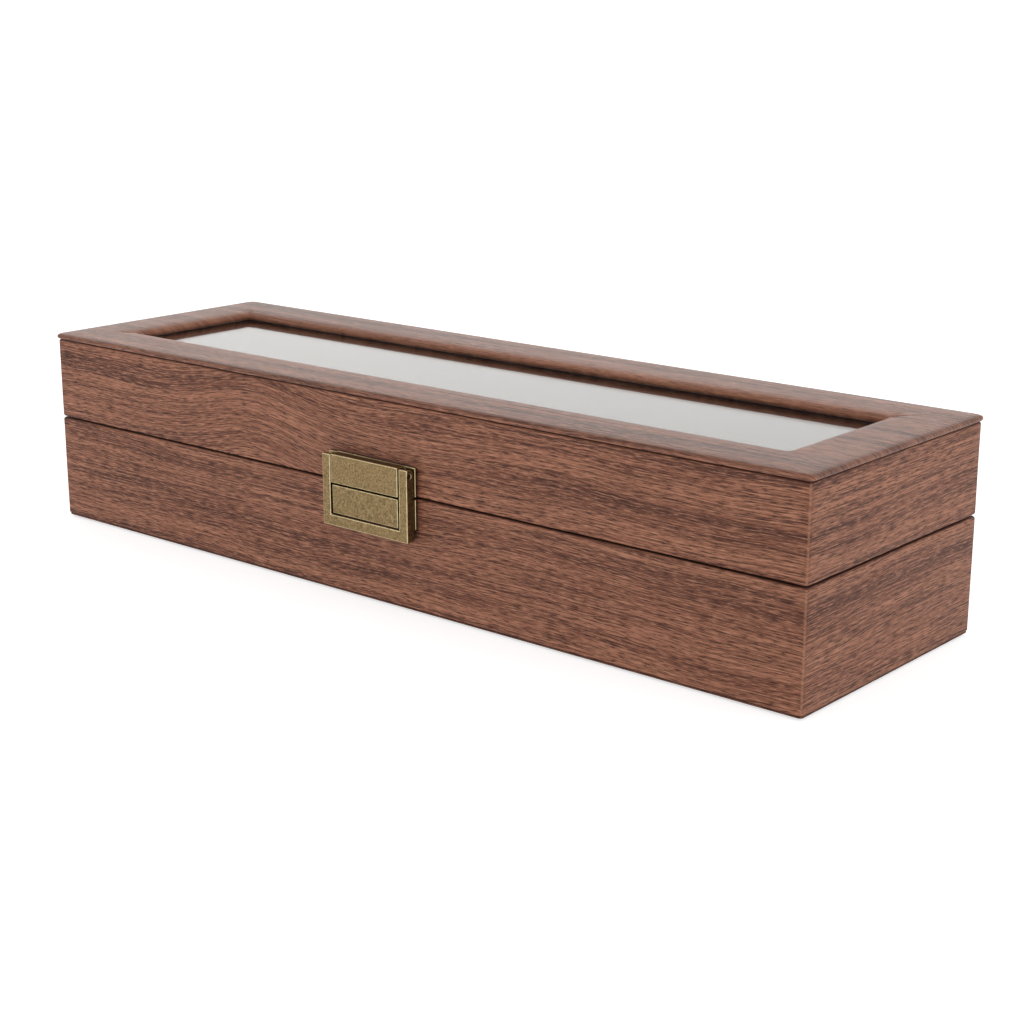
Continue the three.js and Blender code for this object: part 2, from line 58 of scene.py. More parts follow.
# ------------------------------------------------------------------ camera, light and floor

BACKDROP = 1.27  # brightness of the wall behind the box
FRONT_FILL = 0.55  # of the studio in front of it, as a share of that
AWAY_FROM_CAMERA = (-0.643, 0.766, 0.0)
FLOOR_HALF, FLOOR_DROP = 6, 0.0003  # metres
CAMERA = {"place": (435.4, -490.5, 203.1), "azimuth": 40.41, "elevation": 15.54, "lens": 67.64}  # mm, degrees


def make_camera():
    data = bpy.data.cameras.new("camera")
    data.lens = CAMERA["lens"]
    data.sensor_width = 36
    data.clip_start, data.clip_end = 0.01, 50
    camera = bpy.data.objects.new("camera", data)
    scene.collection.objects.link(camera)
    a, e = math.radians(CAMERA["azimuth"]), math.radians(CAMERA["elevation"])
    back = Vector((math.sin(a) * math.cos(e), -math.cos(a) * math.cos(e), math.sin(e)))
    camera.location = Vector(CAMERA["place"]) * MM
    camera.rotation_mode = "QUATERNION"
    camera.rotation_quaternion = (-back).to_track_quat("-Z", "Y")
    scene.camera = camera


def area_light(name, place, target, size, power):
    data = bpy.data.lights.new(name, "AREA")
    data.shape = "RECTANGLE"
    data.size, data.size_y = size
    data.energy = power
    light = bpy.data.objects.new(name, data)
    scene.collection.objects.link(light)
    light.location = place
    light.rotation_mode = "QUATERNION"
    light.rotation_quaternion = (Vector(target) - Vector(place)).to_track_quat("-Z", "Y")


def make_stage():
    """A bright wall behind the box, a dimmer studio in front of it, a white floor and two soft lights."""
    world = bpy.data.worlds.new("studio")
    scene.world = world
    world.use_nodes = True
    nodes, links = world.node_tree.nodes, world.node_tree.links
    nodes.clear()
    out = nodes.new("ShaderNodeOutputWorld")
    background = nodes.new("ShaderNodeBackground")
    coords = nodes.new("ShaderNodeTexCoord")
    facing = nodes.new("ShaderNodeVectorMath")
    facing.operation = "DOT_PRODUCT"
    facing.inputs[1].default_value = AWAY_FROM_CAMERA
    ramp = nodes.new("ShaderNodeValToRGB")
    links.new(coords.outputs["Generated"], facing.inputs[0])
    links.new(facing.outputs["Value"], ramp.inputs[0])
    stops = ramp.color_ramp
    stops.elements[0].position, stops.elements[0].color = 0.0, (FRONT_FILL,) * 3 + (1,)
    stops.elements[1].position, stops.elements[1].color = 0.6, (1, 0.980, 0.958, 1)
    links.new(ramp.outputs[0], background.inputs["Color"])
    background.inputs["Strength"].default_value = BACKDROP
    links.new(background.outputs[0], out.inputs["Surface"])

    mesh = bpy.data.meshes.new("floor")
    corners = [(sx * FLOOR_HALF, sy * FLOOR_HALF, 0) for sx, sy in ((-1, -1), (1, -1), (1, 1), (-1, 1))]
    mesh.from_pydata(corners, [], [(0, 1, 2, 3)])
    floor = bpy.data.objects.new("floor", mesh)
    floor.location.z = -FLOOR_DROP
    scene.collection.objects.link(floor)
    pale = Material("pale_floor", roughness=0.9, emission_strength=0.62)
    pale.shader.inputs["Emission Color"].default_value = (1, 1, 1, 1)
    speckle = pale.noise(pale.coords(), 30, detail=2)
    pale.base(pale.ramp(speckle, (0.3, (0.69, 0.69, 0.69)), (0.7, (0.71, 0.71, 0.71))))
    mesh.materials.append(pale.material)

    area_light("key_low_left", (-0.45, -1.25, 0.10), (0, 0, 0.04), (0.9, 0.18), 4.3)
    area_light("fill_right", (1.5, 0.15, 0.35), (0.1, 0, 0.04), (0.9, 0.6), 5.2)
    scene.view_settings.view_transform = "Standard"
    scene.view_settings.look = "None"


# ------------------------------------------------------------------ materials

class Material:
    """A node material, built from the Principled shader up."""

    def __init__(self, name, **constants):
        self.material = bpy.data.materials.new(name)
        self.material.use_nodes = True
        self.nodes = self.material.node_tree.nodes
        self.links = self.material.node_tree.links
        self.nodes.clear()
        out = self.nodes.new("ShaderNodeOutputMaterial")
        self.shader = self.nodes.new("ShaderNodeBsdfPrincipled")
        self.links.new(self.shader.outputs[0], out.inputs["Surface"])
        for key, value in constants.items():
            self.shader.inputs[key.replace("_", " ").title().replace("Ior", "IOR")].default_value = value

    def feed(self, socket, value):
        """Puts a number, a colour, a vector or another node's output into a socket."""
        if isinstance(value, (int, float)):
            socket.default_value = value
        elif isinstance(value, tuple):
            is_colour = len(socket.default_value) == 4 and len(value) == 3
            socket.default_value = (*value, 1) if is_colour else value
        else:
            self.links.new(value, socket)

    def coords(self):
        return self.nodes.new("ShaderNodeTexCoord").outputs["Object"]

    def split(self, vector):
        node = self.nodes.new("ShaderNodeSeparateXYZ")
        self.feed(node.inputs[0], vector)
        return node.outputs["X"], node.outputs["Y"], node.outputs["Z"]

    def combine(self, x, y, z=0.0):
        node = self.nodes.new("ShaderNodeCombineXYZ")
        for socket, value in zip(node.inputs, (x, y, z)):
            self.feed(socket, value)
        return node.outputs[0]

    def math(self, operation, a, b=0.0, clamp=False):
        node = self.nodes.new("ShaderNodeMath")
        node.operation = operation
        node.use_clamp = clamp
        self.feed(node.inputs[0], a)
        self.feed(node.inputs[1], b)
        return node.outputs[0]

    def add(self, a, b):
        return self.math("ADD", a, b)

    def times(self, a, b):
        return self.math("MULTIPLY", a, b)

    def noise(self, vector, scale=1.0, detail=2.0, roughness=0.5, distortion=0.0):
        node = self.nodes.new("ShaderNodeTexNoise")
        self.feed(node.inputs["Vector"], vector)
        settings = {"Scale": scale, "Detail": detail, "Roughness": roughness, "Distortion": distortion}
        for key, value in settings.items():
            self.feed(node.inputs[key], value)
        return node.outputs[0]

    def voronoi(self, vector, scale=1.0):
        node = self.nodes.new("ShaderNodeTexVoronoi")
        self.feed(node.inputs["Vector"], vector)
        self.feed(node.inputs["Scale"], scale)
        return node.outputs["Distance"]

    def ramp(self, value, *stops):
        """Each stop is (place, colour or number), with places from 0 to 1."""
        node = self.nodes.new("ShaderNodeValToRGB")
        self.feed(node.inputs[0], value)
        elements = node.color_ramp.elements
        while len(elements) < len(stops):
            elements.new(0.5)
        for element, (place, colour) in zip(elements, stops):
            element.position = place
            element.color = (colour,) * 3 + (1,) if isinstance(colour, (int, float)) else (*colour, 1)
        return node.outputs[0]

    def mix(self, factor, a, b):
        node = self.nodes.new("ShaderNodeMix")
        node.data_type = "RGBA"
        self.feed(node.inputs[0], factor)
        self.feed(node.inputs[6], a)
        self.feed(node.inputs[7], b)
        return node.outputs[2]

    def painted_crevice_shade(self, reach, low, high, amount):
        """How much shade to paint where a point lies deep in a corner or gap, up to the amount. Reach is in
        millimetres.
        """
        node = self.nodes.new("ShaderNodeAmbientOcclusion")
        node.inputs["Distance"].default_value = reach * MM
        return self.ramp(node.outputs["AO"], (low, amount), (high, 0.0))

    def base(self, colour):
        self.feed(self.shader.inputs["Base Color"], colour)

    def rough(self, value):
        self.feed(self.shader.inputs["Roughness"], value)

    def bump(self, height, strength=0.3, distance=0.1):
        """Distance is in millimetres."""
        node = self.nodes.new("ShaderNodeBump")
        node.inputs["Strength"].default_value = strength
        node.inputs["Distance"].default_value = distance * MM
        self.feed(node.inputs["Height"], height)
        self.feed(self.shader.inputs["Normal"], node.outputs[0])


def wood_sheet(name, seed, upright=True, arch=None, sheen=0.045, tone=1.0):
    """Wood-grain printed and embossed sheet. An upright one runs round the case's walls, a flat one along X.

    An arch is (centre, height, spread) in millimetres, where the grain rises in a hill. Lengths below are in
    millimetres too, and frequencies per millimetre.
    """
    m = Material(name, specular_ior_level=0.16 if upright else 0.25, sheen_weight=sheen, sheen_roughness=0.3)
    x, y, z = (m.times(c, 1 / MM) for c in m.split(m.coords()))
    in_x = m.math("SUBTRACT", HALF_X, m.math("ABSOLUTE", x))
    in_y = m.math("SUBTRACT", HALF_Y, m.math("ABSOLUTE", y))
    if upright:
        # Over the rims the grain keeps running along the nearest wall.
        side = m.math("LESS_THAN", in_x, in_y)
        step_x, step_y = m.times(m.math("SIGN", x), in_x), m.times(m.math("SIGN", y), in_y)
        step = m.add(m.times(side, step_x), m.times(m.math("SUBTRACT", 1.0, side), step_y))
        along, across = m.add(m.add(x, y), step), m.add(z, m.math("MINIMUM", in_x, in_y))
    else:
        along, across = x, m.add(y, z)

    # The grain wanders gently, and rises over the arch.
    wander = m.noise(m.combine(m.times(along, 0.0075), m.times(across, 0.02), seed), detail=2)
    across = m.add(across, m.times(m.math("SUBTRACT", wander, 0.5), 9.0))
    if arch:
        centre, height, spread = arch
        near = m.times(m.math("SUBTRACT", along, centre), 1 / spread)
        hill = m.math("POWER", math.e, m.times(m.times(near, near), -1.0))
        across = m.math("SUBTRACT", across, m.times(hill, height))

    # Broad tone, growth bands, dark streaks along them, long fibres, and the short grit of the embossing.
    def grain(rate_along, rate_across, shift, detail, roughness=0.5):
        place = m.combine(m.times(along, rate_along), m.times(across, rate_across), seed + shift)
        return m.noise(place, detail=detail, roughness=roughness)

    broad = grain(0.006, 0.06, 3, 3)
    bands = grain(0.0026, 0.145, 7, 4, 0.62)
    streak = grain(0.008, 0.42, 11, 5, 0.66)
    fibre = grain(0.026, 1.9, 17, 4, 0.72)
    grit = grain(0.21, 2.4, 23, 2, 0.65)

    light, middle, pale = (0.258, 0.107, 0.061), (0.160, 0.058, 0.032), (0.39, 0.183, 0.112)
    # A tone above 1 paints the sheet lighter all over, a painted sheen, as on the frame cover's rails.
    light, middle, pale = (tuple(tone * c for c in colour) for colour in (light, middle, pale))
    dark, darker = (0.058, 0.016, 0.008), (0.032, 0.008, 0.004)
    colour = m.ramp(bands, (0.36, dark), (0.46, middle), (0.57, light), (0.70, middle))
    colour = m.mix(m.ramp(broad, (0.35, 0.0), (0.65, 0.3)), colour, middle)
    colour = m.mix(m.ramp(streak, (0.36, 0.82), (0.50, 0.0)), colour, dark)
    colour = m.mix(m.ramp(fibre, (0.37, 0.80), (0.49, 0.0)), colour, darker)
    colour = m.mix(m.ramp(fibre, (0.52, 0.0), (0.66, 0.55)), colour, pale)
    colour = m.mix(m.ramp(grit, (0.34, 0.95), (0.47, 0.0)), colour, darker)
    colour = m.mix(m.ramp(grit, (0.53, 0.0), (0.68, 0.65)), colour, pale)

    if upright:
        # The folded corners are rubbed paler.
        worn = m.times(m.math("SUBTRACT", 1.0, m.math("MAXIMUM", in_x, in_y)), 1.8)
        patchy = m.noise(m.combine(m.times(along, 0.4), m.times(z, 0.9), seed + 31), detail=3)
        worn = m.times(m.math("MAXIMUM", worn, 0.0, clamp=True), m.ramp(patchy, (0.35, 0.2), (0.6, 0.8)))
        rubbed, painted_seam_shade = (0.32, 0.165, 0.108), (0.040, 0.013, 0.008)
        colour = m.mix(worn, colour, rubbed)
        # Painted shade: the colour goes darker in the seam between lid and base and in other gaps and corners.
        colour = m.mix(m.painted_crevice_shade(2.2, 0.45, 0.9, 0.8), colour, painted_seam_shade)
    else:
        # Round the outer rim the colour is mixed darker, painted shade, and down by the pane it is mixed
        # lighter, painted light on the inner roll.
        inset = m.math("MINIMUM", in_x, in_y)
        rim = m.ramp(m.times(inset, 0.4), (0.0, 0.42), (0.35, 0.36), (1.0, 0.0))
        inner = m.ramp(m.times(inset, 0.04), (0.70, 0.0), (0.85, 0.38))
        colour = m.mix(inner, m.mix(rim, colour, dark), light)
    m.base(colour)
    relief = m.add(m.times(fibre, 0.6), m.times(grit, 0.5))
    m.bump(relief, strength=0.6, distance=0.18 if upright else 0.40)
    m.rough(m.math("SUBTRACT", 0.62, m.times(fibre, 0.22)))
    return m.material


def antique_brass(name, worn=False, patina=0.0):
    """Speckled dark brass, or the bright rubbed brass of its edges. Patina from 0 to 1 darkens it."""
    m = Material(name, metallic=1.0)
    place = m.coords()
    cloud = m.noise(place, 420, detail=5, roughness=0.7)
    speck = m.noise(place, 1500, detail=3, roughness=0.7)
    x, y, z = m.split(place)
    brushed = m.noise(m.combine(m.times(x, 300.0), m.times(y, 300.0), m.times(z, 3200.0)), detail=2)
    patina_and_painted_shade = (0.030, 0.021, 0.012)
    if worn:
        tint = m.ramp(cloud, (0.35, (0.40, 0.32, 0.17)), (0.65, (0.60, 0.49, 0.29)))
        m.rough(m.ramp(speck, (0.3, 0.26), (0.7, 0.36)))
    else:
        low, middle, high = (0.155, 0.104, 0.048), (0.184, 0.126, 0.058), (0.220, 0.155, 0.074)
        tint = m.ramp(cloud, (0.30, low), (0.5, middle), (0.72, high))
        tint = m.mix(m.ramp(speck, (0.34, 0.9), (0.48, 0.0)), tint, (0.080, 0.060, 0.030))
        tint = m.mix(m.ramp(speck, (0.52, 0.0), (0.66, 0.8)), tint, (0.300, 0.225, 0.120))
        m.rough(m.add(0.34, m.times(speck, 0.20)))
    if patina:
        tint = m.mix(patina, tint, patina_and_painted_shade)
    # Dark patina and painted shade: the colour is mixed darker in gaps and hollows, where shade falls.
    m.base(m.mix(m.painted_crevice_shade(0.9, 0.35, 0.75, 0.85), tint, patina_and_painted_shade))
    m.bump(m.add(m.times(brushed, 0.6), m.times(speck, 0.6)), strength=0.22, distance=0.05)
    return m.material


def pile(name, dark, light, scale=2600, sheen=0.5):
    """Velvet or felt: a fine nap, with soft patches where it lies the other way."""
    m = Material(name, roughness=0.9, specular_ior_level=0.2, sheen_weight=sheen, sheen_roughness=0.45)
    m.shader.inputs["Sheen Tint"].default_value = (0.5, 0.5, 0.55, 1)
    place = m.coords()
    nap = m.noise(place, scale, detail=3, roughness=0.7)
    brushed = m.noise(place, 55, detail=3, roughness=0.55, distortion=0.6)
    m.base(m.mix(m.ramp(brushed, (0.40, 0.0), (0.62, 0.7)), m.ramp(nap, (0.3, dark), (0.7, light)), light))
    m.bump(nap, strength=0.5, distance=0.12)
    return m.material


def board(name):
    m = Material(name, roughness=0.85)
    x, y, z = m.split(m.coords())
    place = m.combine(m.times(x, 500.0), m.times(y, 500.0), m.times(z, 1300.0))
    chips = m.noise(place, detail=4, roughness=0.7)
    m.base(m.ramp(chips, (0.3, (0.30, 0.20, 0.12)), (0.7, (0.52, 0.38, 0.25))))
    m.bump(chips, strength=0.4, distance=0.08)
    return m.material


def foam(name):
    m = Material(name, roughness=0.95)
    cells = m.voronoi(m.coords(), 1400)
    m.base(m.ramp(cells, (0.1, (0.60, 0.58, 0.52)), (0.7, (0.80, 0.78, 0.72))))
    m.bump(cells, strength=0.6, distance=0.2)
    return m.material


def clear_pane(name):
    m = Material(name, transmission_weight=1.0, ior=1.5, roughness=0.0)
    dust = m.noise(m.coords(), 40, detail=3)
    m.base(m.ramp(dust, (0.3, (0.975, 0.98, 0.98)), (0.7, (0.995, 1.0, 1.0))))
    return m.material


# ------------------------------------------------------------------ meshes

def new_piece(name, mesh, body, slot, *replaced):
    """A smooth-shaded visual piece on a body, in place of the CAD nodes named."""
    piece = bpy.data.objects.new(name, mesh)
    scene.collection.objects.link(piece)
    mesh.shade_smooth()
    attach(piece, body)
    if replaced:
        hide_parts(*replaced)
    return piece


BODY_OF = {node: body for body, nodes in frame["record"]["behaviour"]["bodies"].items() for node in nodes}
SLOT_OF = {entry["node"]: entry["material_slot"] for entry in frame["record"]["subparts"]}
SAME = 1e-6  # metres: points closer than this are one
COPLANAR = math.radians(1.0)
LEDGE = 0.1 * MM  # how far a clasp plate stands past its block


def refine(node, materials, bevel, segments=3, angle=25, clamp=True, adjust=None):
    """A CAD node's shape with clean faces and rounded edges, in its place.

    A second material goes on the edges. Adjust, if given, changes the bmesh before its edges are rounded.
    """
    source = frame["nodes"][node]
    mesh = source.data.copy()
    mesh.name = node + "_fine"
    work = bmesh.new()
    work.from_mesh(mesh)
    bmesh.ops.remove_doubles(work, verts=work.verts, dist=SAME)
    bmesh.ops.dissolve_limit(work, angle_limit=COPLANAR, verts=work.verts, edges=work.edges)
    if adjust:
        adjust(work)
    work.to_mesh(mesh)
    work.free()
    mesh.materials.clear()
    for material in materials:
        mesh.materials.append(material)
    for polygon in mesh.polygons:
        polygon.material_index = 0
    piece = new_piece(node + "_fine", mesh, BODY_OF[node], SLOT_OF[node], node)
    modifier = piece.modifiers.new("edges", "BEVEL")
    modifier.width = bevel * MM
    modifier.segments = segments
    modifier.limit_method = "ANGLE"
    modifier.angle_limit = math.radians(angle)
    modifier.use_clamp_overlap = clamp
    if len(materials) > 1:
        modifier.material = 1
    piece.modifiers.new("normals", "WEIGHTED_NORMAL")
    apply_modifiers(piece)
    return piece


def level_ends(work):
    """Brings a clasp plate's top and bottom edges level with its block, where they are a hair apart."""
    heights = [v.co.z for v in work.verts]
    for end, way in ((max(heights), -1), (min(heights), 1)):
        level = end + way * LEDGE
        if any(abs(v.co.z - level) < SAME for v in work.verts):
            for vertex in work.verts:
                if abs(vertex.co.z - end) < SAME:
                    vertex.co.z = level
    bmesh.ops.remove_doubles(work, verts=work.verts, dist=SAME)
    bmesh.ops.dissolve_degenerate(work, edges=work.edges, dist=SAME)
    bmesh.ops.dissolve_limit(work, angle_limit=COPLANAR, verts=work.verts, edges=work.edges)


def keep_flats(mesh, angle):
    """Smooth shading, except over edges sharper than the angle."""
    work = bmesh.new()
    work.from_mesh(mesh)
    limit = math.radians(angle)
    for edge in work.edges:
        edge.smooth = len(edge.link_faces) == 2 and edge.calc_face_angle(0) < limit
    work.to_mesh(mesh)
    work.free()


def apply_modifiers(piece):
    """Replaces a piece's mesh by what its modifiers make of it."""
    evaluated = piece.evaluated_get(bpy.context.evaluated_depsgraph_get())
    made = bpy.data.meshes.new_from_object(evaluated)
    made.name = piece.data.name
    old = piece.data
    piece.modifiers.clear()
    piece.data = made
    bpy.data.meshes.remove(old)


def outline(half_x, half_y, radius, step, arc, extra_x):
    """Points round a rounded rectangle, counter-clockwise from the front right, the same number for any size.

    Each is (x, y). Stations along the sides are spread evenly, with extra ones at the given x on the back
    side.
    """
    points = []
    straight = half_x - radius
    count_x, count_y = round(2 * HALF_X / step), round(2 * HALF_Y / step)
    corners = [(1, -1, -90), (1, 1, 0), (-1, 1, 90), (-1, -1, 180)]
    for index, (sx, sy, start) in enumerate(corners):
        cx, cy = sx * (half_x - radius), sy * (half_y - radius)
        for i in range(arc + 1):
            angle = math.radians(start + 90 * i / arc)
            points.append((cx + radius * math.cos(angle), cy + radius * math.sin(angle)))
        if index == 1:
            stations = [straight - 2 * straight * k / count_x for k in range(1, count_x)]
            points += [(x, half_y) for x in sorted({*stations, *extra_x}, reverse=True)]
        elif index == 3:
            points += [(-straight + 2 * straight * k / count_x, -half_y) for k in range(1, count_x)]
        else:
            y0, y1 = cy, corners[(index + 1) % 4][1] * (half_y - radius)
            points += [(sx * half_x, y0 + (y1 - y0) * k / count_y) for k in range(1, count_y)]
    return points


def sweep(name, profile, radius_at, shift, step, overhang=0.0, extra_x=(), arc=10):
    """A closed ring: each profile point is (inset, z) and goes round the case at that inset.

    The shift moves each of its points a little, given the point and its inset.
    """
    half_x, half_y = HALF_X + overhang, HALF_Y + overhang
    vertices = []
    for inset, z in profile:
        loop = outline(half_x - inset, half_y - inset, radius_at(inset), step, arc, extra_x)
        vertices += [shift(Vector((x, y, z)), inset) * MM for x, y in loop]
    around, rows = len(loop), len(profile)
    faces = []
    for r in range(rows):
        for k in range(around):
            a, b = r * around + k, r * around + (k + 1) % around
            c, d = ((r + 1) % rows) * around + (k + 1) % around, ((r + 1) % rows) * around + k
            faces.append((a, b, c, d))
    mesh = bpy.data.meshes.new(name)
    mesh.from_pydata(vertices, [], faces)
    work = bmesh.new()
    work.from_mesh(mesh)
    bmesh.ops.recalc_face_normals(work, faces=work.faces)
    if work.calc_volume(signed=True) < 0:
        bmesh.ops.reverse_faces(work, faces=work.faces)
    work.to_mesh(mesh)
    work.free()
    return mesh


def arc_points(centre, radius, start, end, count):
    """Points on an arc in the profile plane, by angle in degrees."""
    cx, cy = centre
    return [
        (cx + radius * math.cos(math.radians(start + (end - start) * i / count)),
         cy + radius * math.sin(math.radians(start + (end - start) * i / count)))
        for i in range(count + 1)
    ]


def fine(points, longest):
    """The same open profile with its long stretches divided."""
    out = [points[0]]
    for (s0, z0), (s1, z1) in zip(points, points[1:]):
        parts = max(1, math.ceil(math.hypot(s1 - s0, z1 - z0) / longest))
        out += [(s0 + (s1 - s0) * i / parts, z0 + (z1 - z0) * i / parts) for i in range(1, parts + 1)]
    return out


def wave(point, scale, seed):
    """Smooth noise between about -1 and 1, the same on each run."""
    return noise.noise(Vector((point.x / scale, point.y / scale, point.z / scale + seed)))


# ------------------------------------------------------------------ case

def size_of(node):
    """The low and high corners of a CAD node, in millimetres."""
    low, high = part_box(node)
    return Vector(low) / MM, Vector(high) / MM


BASE_LOW, BASE_HIGH = size_of("base_wrap")
LID_LOW, LID_HIGH = size_of("lid_wrap")
HALF_X, HALF_Y = BASE_HIGH.x, BASE_HIGH.y
WRAP_INNER = 7.7  # how far in from the outside the sheet is turned over the rims
HINGE_SIDES = [size_of(f"hinge_base_leaf_{side}") for side in ("left", "right")]


def make_wraps():
    """The glued sheet round the base and the lid, rolled over both rims, with a little unevenness."""
    rooms = [(low.x - 0.35, high.x + 0.35) for low, high in HINGE_SIDES]
    stations = [x for low, high in rooms for x in (low - 0.06, low, high, high + 0.06)]

    def in_room(x):
        return any(low - 0.01 < x < high + 0.01 for low, high in rooms)

    def settle(rim, sign, leaf, seed):
        """Moves for one wrap: hollows for the leaves in the rim, and the unevenness of glued sheet."""
        def shift(point, inset):
            x, y, z = point
            if y > 42 and in_room(x) and sign * (z - leaf) > 0:
                z = leaf
            near_rim = math.exp(-abs(z - rim) / 2.5)
            if inset < 1.5:
                push = 0.10 * wave(point, 34, seed) + 0.07 * near_rim * wave(point, 11, seed + 5) - 0.08
                out_x = x / HALF_X if abs(x) > HALF_X - 2 else 0
                out_y = y / HALF_Y if abs(y) > HALF_Y - 2 else 0
                x, y = x + out_x * push, y + out_y * push
            if inset < 7 and abs(z - rim) < 1.2 and not (y > 42 and in_room(x)):
                z += 0.06 * wave(Vector((x, y, 0)), 16, seed + 9)
            return Vector((x, y, z))
        return shift

    inner = WRAP_INNER

    def section(low, high, roll_low, roll_high, turned_low, turned_high):
        """Up the outside, over the top rim, down inside it, back under and home: (inset, z)."""
        outside = arc_points((roll_low, low + roll_low), roll_low, -90, -180, 5)
        outside += arc_points((roll_high, high - roll_high), roll_high, 180, 90, 7)
        top = arc_points((inner - 0.5, high - 0.62), 0.62, 90, 0, 4)
        reach_top = [(inner + 0.12, high - 0.7 - turned_high), (inner + 0.02, high - 0.7 - turned_high)]
        under_top = [(inner + 0.02, high - 0.66), (0.66, high - 0.66)]
        under_low = [(0.66, low + 0.66), (inner + 0.02, low + 0.66)]
        reach_low = [(inner + 0.02, low + 0.7 + turned_low), (inner + 0.12, low + 0.7 + turned_low)]
        foot_in = arc_points((inner - 0.5, low + 0.62), 0.62, 0, -90, 4)
        return fine(outside + top + reach_top + under_top + under_low + reach_low + foot_in, 3.5)

    def corner(inset):
        return max(0.35, 1.45 - inset * 0.25)

    base_z, lid_z, leaf_depth = (BASE_LOW.z, BASE_HIGH.z), (LID_LOW.z, LID_HIGH.z), 0.72
    base_section = section(*base_z, roll_low=0.45, roll_high=0.85, turned_low=0.02, turned_high=1.2)
    lid_section = section(*lid_z, roll_low=0.85, roll_high=0.8, turned_low=1.2, turned_high=0.02)
    base_shift = settle(rim=base_z[1], sign=1, leaf=base_z[1] - leaf_depth, seed=2.0)
    lid_shift = settle(rim=lid_z[0], sign=-1, leaf=lid_z[0] + leaf_depth, seed=9.0)
    lid_arch = (-110.0, 6.5, 30.0)
    for body, profile, shift, seed, arch in (
        ("base", base_section, base_shift, 2.0, None), ("lid", lid_section, lid_shift, 9.0, lid_arch),
    ):
        mesh = sweep(body + "_wrap_sheet", profile, corner, shift, step=6.0, extra_x=stations)
        piece = new_piece(body + "_wrap_sheet", mesh, body, "wood_grain_wrap", body + "_wrap")
        mesh.materials.append(wood_sheet(body + "_wood_sheet", seed, arch=arch))
        keep_flats(mesh, 50)


def make_frame_cover():
    """The padded frame round the window: one sheet over foam, rolled down to the pane, folded at the corners."""
    low, high = size_of("frame_cover")
    over = high.x - HALF_X
    pane_top = size_of("window_pane")[1].z
    base, top = low.z, high.z - 0.12
    rail = 21.8  # how far in the inner roll reaches

    # Up the outer edge, over the crown, round the inner roll, which bulges over the pane, and back under.
    upper = [
        (0.95, base + 0.02), (0.35, base + 0.14), (0.06, base + 0.5), (0.0, base + 0.9), (0.05, base + 1.3),
        (0.28, base + 1.68), (0.75, base + 1.93), (1.6, base + 2.06), (3.0, base + 2.14),
        (5.0, top - 0.06), (7.0, top - 0.02), (9.0, top), (11.0, top), (13.0, top + 0.04),
        (15.0, top + 0.05), (16.8, top + 0.02), (18.2, top - 0.05), (19.2, top - 0.16), (20.0, top - 0.32),
        (20.6, top - 0.52), (21.1, top - 0.78), (21.5, top - 1.12), (21.72, top - 1.5),
        (rail, top - 1.9), (21.7, top - 2.35), (21.45, top - 2.75),
        (21.1, pane_top + 0.34), (20.7, pane_top + 0.14), (20.2, pane_top + 0.05),
    ]
    under = [
        (19.6, pane_top + 0.12), (18.9, base + 0.03), (14.0, base + 0.03), (7.7, base + 0.03),
        (3.0, base + 0.03),
    ]

    def corner(inset):
        t = inset / rail
        return 1.8 + 9.0 * math.sin(math.pi * min(1, max(0, t))) ** 1.2 * (1 - 0.35 * t)

    inner_x, inner_y = HALF_X + over - rail, HALF_Y + over - rail
    bottom = base + 0.05

    def shift(point, inset):
        """Uneven padding all over, folds fanning out from the inner corners, and a swaying inner edge."""
        x, y, z = point
        if z <= bottom or inset < 0.5 * rail and z < base + 1:
            return point
        lift = 0.10 * wave(point, 26, 4.0) * math.sin(math.pi * min(1, inset / rail))
        away = Vector((abs(x) - inner_x, abs(y) - inner_y, 0))
        distance = away.length
        which = (1 if x > 0 else 0) + (2 if y > 0 else 0)
        if 0.3 < distance < 16:
            angle = math.atan2(away.y, away.x)
            reach = math.exp(-((distance / 6.5) ** 2)) * min(1, distance / 1.2)
            folds = math.cos(9.0 * (angle - 0.785) + 0.7 * which) + 0.5 * math.cos(15.0 * angle + which)
            lift += -0.34 * reach * max(0, math.cos(angle - 0.785)) * (0.65 + 0.5 * folds)
        if inset > 12:
            roll = (inset - 12) / (rail - 12)
            sway = 0.22 * roll * wave(point, 14, 8.0)
            if abs(x) > inner_x - 1:
                x += math.copysign(sway, x)
            if abs(y) > inner_y - 1:
                y += math.copysign(sway, y)
        z = max(z + lift, pane_top + 0.03)
        return Vector((x, y, min(z, high.z - 0.02)))

    mesh = sweep("frame_cover_padded", upper + under, corner, shift, step=3.0, overhang=over, arc=22)
    piece = new_piece("frame_cover_padded", mesh, "lid", "wood_grain_wrap", "frame_cover")
    # Its tone of 1.35 paints this sheet lighter than the walls' sheet: a painted sheen on the rails.
    mesh.materials.append(wood_sheet("frame_wood_sheet", 21.0, upright=False, sheen=0.38, tone=1.35))
    keep_flats(mesh, 60)


# ------------------------------------------------------------------ cushions

SEAM_INSET = 6.5  # from each end of a cushion


def make_cushions(material, seam_material):
    """One cushion is blown up by simulation, and the six are made from it with their own small dents."""
    low, high = size_of("cushion_1")
    half = (high - low) / 2
    pillow = blown_pillow(half)
    for index in range(1, 7):
        low, high = size_of(f"cushion_{index}")
        middle = (low + high) / 2
        mesh = pillow.copy()
        mesh.name = f"cushion_{index}_velvet"
        for vertex in mesh.vertices:
            point = vertex.co / MM
            dent = 0.55 * wave(point, 17, 3.1 * index) + 0.25 * wave(point, 7, 5.7 * index)
            if point.z < -half.z * 0.75:
                dent = 0
            vertex.co = (point + point.normalized() * dent + middle) * MM
            vertex.co.z = max(vertex.co.z, low.z * MM)
        piece = new_piece(mesh.name, mesh, f"cushion_{index}_body", "cushion_velvet", f"cushion_{index}")
        mesh.materials.append(material)
        cord = seam_ring(pillow, half, middle, index)
        cord.materials.append(seam_material)
        new_piece(f"cushion_{index}_seams", cord, f"cushion_{index}_body", "cushion_velvet")
    bpy.data.meshes.remove(pillow)


